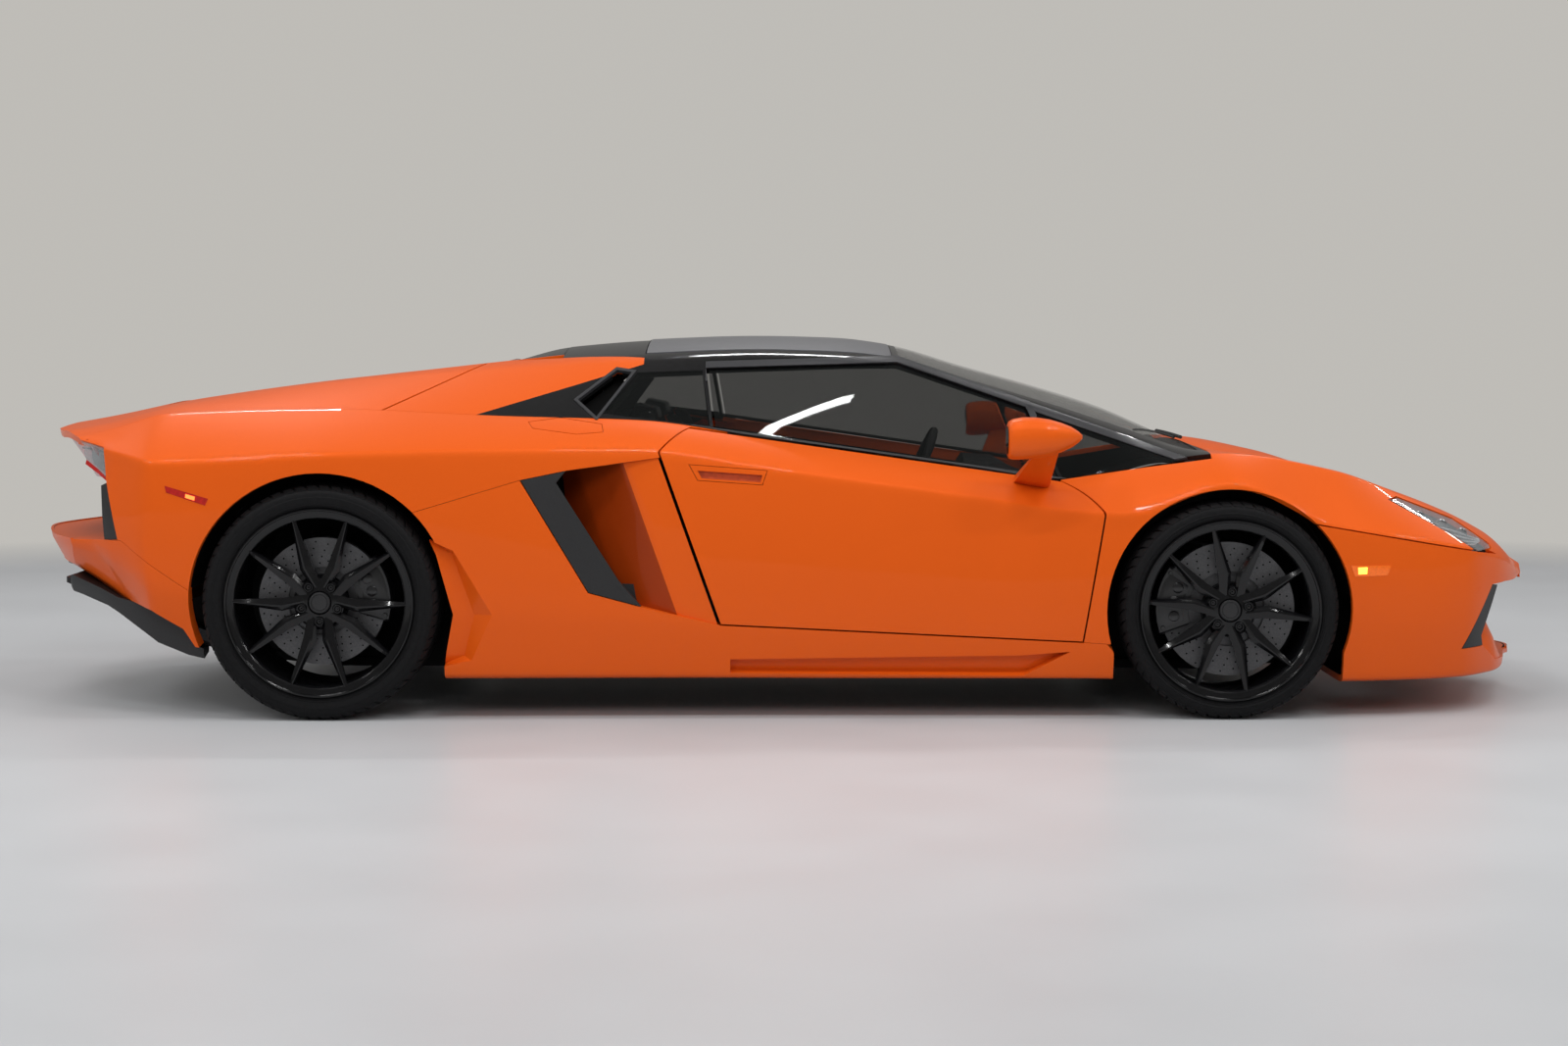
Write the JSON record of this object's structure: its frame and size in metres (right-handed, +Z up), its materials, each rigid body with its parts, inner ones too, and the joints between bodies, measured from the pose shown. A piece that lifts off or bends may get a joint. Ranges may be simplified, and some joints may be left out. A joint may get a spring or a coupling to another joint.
{
  "type": "mid-engined roadster",
  "caption": "Low wedge-shaped two-seat mid-engined roadster with scissor doors, a lift-off hard top, side intakes and spoked wheels.",
  "frame": {"origin": "on the ground, under the middle of the overall length and width", "axes": "+X towards the nose, +Y towards the car's left, +Z up"},
  "size_m": [4.78, 2.264, 1.135],
  "materials": {
    "black_trim": "satin",
    "cabin_dark": "matte",
    "caliper_black": "gloss",
    "disc_iron": "drilled, machined",
    "engine_alloy": "cast",
    "exhaust_metal": "brushed",
    "frame_metal": "satin",
    "gloss_black": "gloss",
    "lamp_clear": "clear over grey",
    "lamp_red": "red",
    "paint": "metallic orange clear coat",
    "roof_grey": "satin dark grey",
    "seat_leather": "matt",
    "tinted_glass": "dark tint",
    "tyre": "moulded rubber",
    "wheel_black": "gloss"
  },
  "bodies": {
    "body": {"arch_liners": "black_trim", "cowl": "black_trim", "dashboard": "cabin_dark", "diffuser": "black_trim", "engine_block": "engine_alloy", "exhaust": "exhaust_metal", "front_bumper": "paint", "front_fenders": "paint", "front_grilles": "black_trim", "headlamps": "lamp_clear", "intake_blades": "black_trim", "intake_ducts": "paint", "knuckle_rear_left": "caliper_black", "knuckle_rear_right": "caliper_black", "luggage_tub": "black_trim", "rear_bumper": "paint", "rear_deck": "paint", "rear_grille": "black_trim", "rear_quarters": "paint", "rear_subframe": "frame_metal", "roof_frame": "gloss_black", "roof_panels": "roof_grey", "seats": "seat_leather", "side_skirts": "paint", "side_windows": "tinted_glass", "suspension_arms": "frame_metal", "tail_lamps": "lamp_red", "tub": "cabin_dark", "underfloor": "black_trim", "windscreen": "tinted_glass", "wiper": "black_trim"},
    "door_left": {"door_left": "paint", "door_glass_left": "tinted_glass", "mirror_left": "paint"},
    "door_right": {"door_right": "paint", "door_glass_right": "tinted_glass", "mirror_right": "paint"},
    "front_lid": {"front_lid": "paint"},
    "engine_cover": {"engine_cover": "black_trim"},
    "steering_wheel": {"steering_wheel": "cabin_dark"},
    "steer_left": {"knuckle_front_left": "caliper_black"},
    "steer_right": {"knuckle_front_right": "caliper_black"},
    "wheel_front_left": {"tyre_front_left": "tyre", "rim_front_left": "wheel_black", "brake_disc_front_left": "disc_iron"},
    "wheel_front_right": {"tyre_front_right": "tyre", "rim_front_right": "wheel_black", "brake_disc_front_right": "disc_iron"},
    "wheel_rear_left": {"tyre_rear_left": "tyre", "rim_rear_left": "wheel_black", "brake_disc_rear_left": "disc_iron"},
    "wheel_rear_right": {"tyre_rear_right": "tyre", "rim_rear_right": "wheel_black", "brake_disc_rear_right": "disc_iron"}
  },
  "joints": [
    {"name": "steer_left", "type": "hinge", "parent": "body", "child": "steer_left", "pos_m": [1.315, 0.818, 0.325], "axis": [0, 0, 1], "range_deg": [-30, 30]},
    {"name": "steer_right", "type": "hinge", "parent": "body", "child": "steer_right", "pos_m": [1.315, -0.818, 0.325], "axis": [0, 0, 1], "range_deg": [-30, 30]},
    {"name": "steering_wheel", "type": "hinge", "parent": "body", "child": "steering_wheel", "pos_m": [0.43, 0.37, 0.65], "axis": [-0.9272, 0, 0.3746], "range_deg": [-450, 450]},
    {"name": "wheel_front_left", "type": "hinge", "parent": "steer_left", "child": "wheel_front_left", "pos_m": [1.315, 0.858, 0.325], "axis": [0, 1, 0], "continuous": true},
    {"name": "wheel_front_right", "type": "hinge", "parent": "steer_right", "child": "wheel_front_right", "pos_m": [1.315, -0.858, 0.325], "axis": [0, 1, 0], "continuous": true},
    {"name": "wheel_rear_left", "type": "hinge", "parent": "body", "child": "wheel_rear_left", "pos_m": [-1.385, 0.845, 0.35], "axis": [0, 1, 0], "continuous": true},
    {"name": "wheel_rear_right", "type": "hinge", "parent": "body", "child": "wheel_rear_right", "pos_m": [-1.385, -0.845, 0.35], "axis": [0, 1, 0], "continuous": true},
    {"name": "door_left", "type": "hinge", "parent": "body", "child": "door_left", "pos_m": [0.93, 0.79, 0.655], "axis": [0, 0.9848, -0.1736], "range_deg": [0, 65]},
    {"name": "door_right", "type": "hinge", "parent": "body", "child": "door_right", "pos_m": [0.93, -0.79, 0.655], "axis": [0, 0.9848, 0.1736], "range_deg": [0, 65]},
    {"name": "front_lid", "type": "hinge", "parent": "body", "child": "front_lid", "pos_m": [1.3235, 0, 0.76958], "axis": [0, -1, 0], "range_deg": [0, 50]},
    {"name": "engine_cover", "type": "hinge", "parent": "body", "child": "engine_cover", "pos_m": [-0.6935, 0, 1.09112], "axis": [0, 1, 0], "range_deg": [0, 45]}
  ],
  "couplings": [
    {"joint": "steer_right", "follows": "steer_left", "ratio": 1},
    {"joint": "steering_wheel", "follows": "steer_left", "ratio": 15}
  ]
}
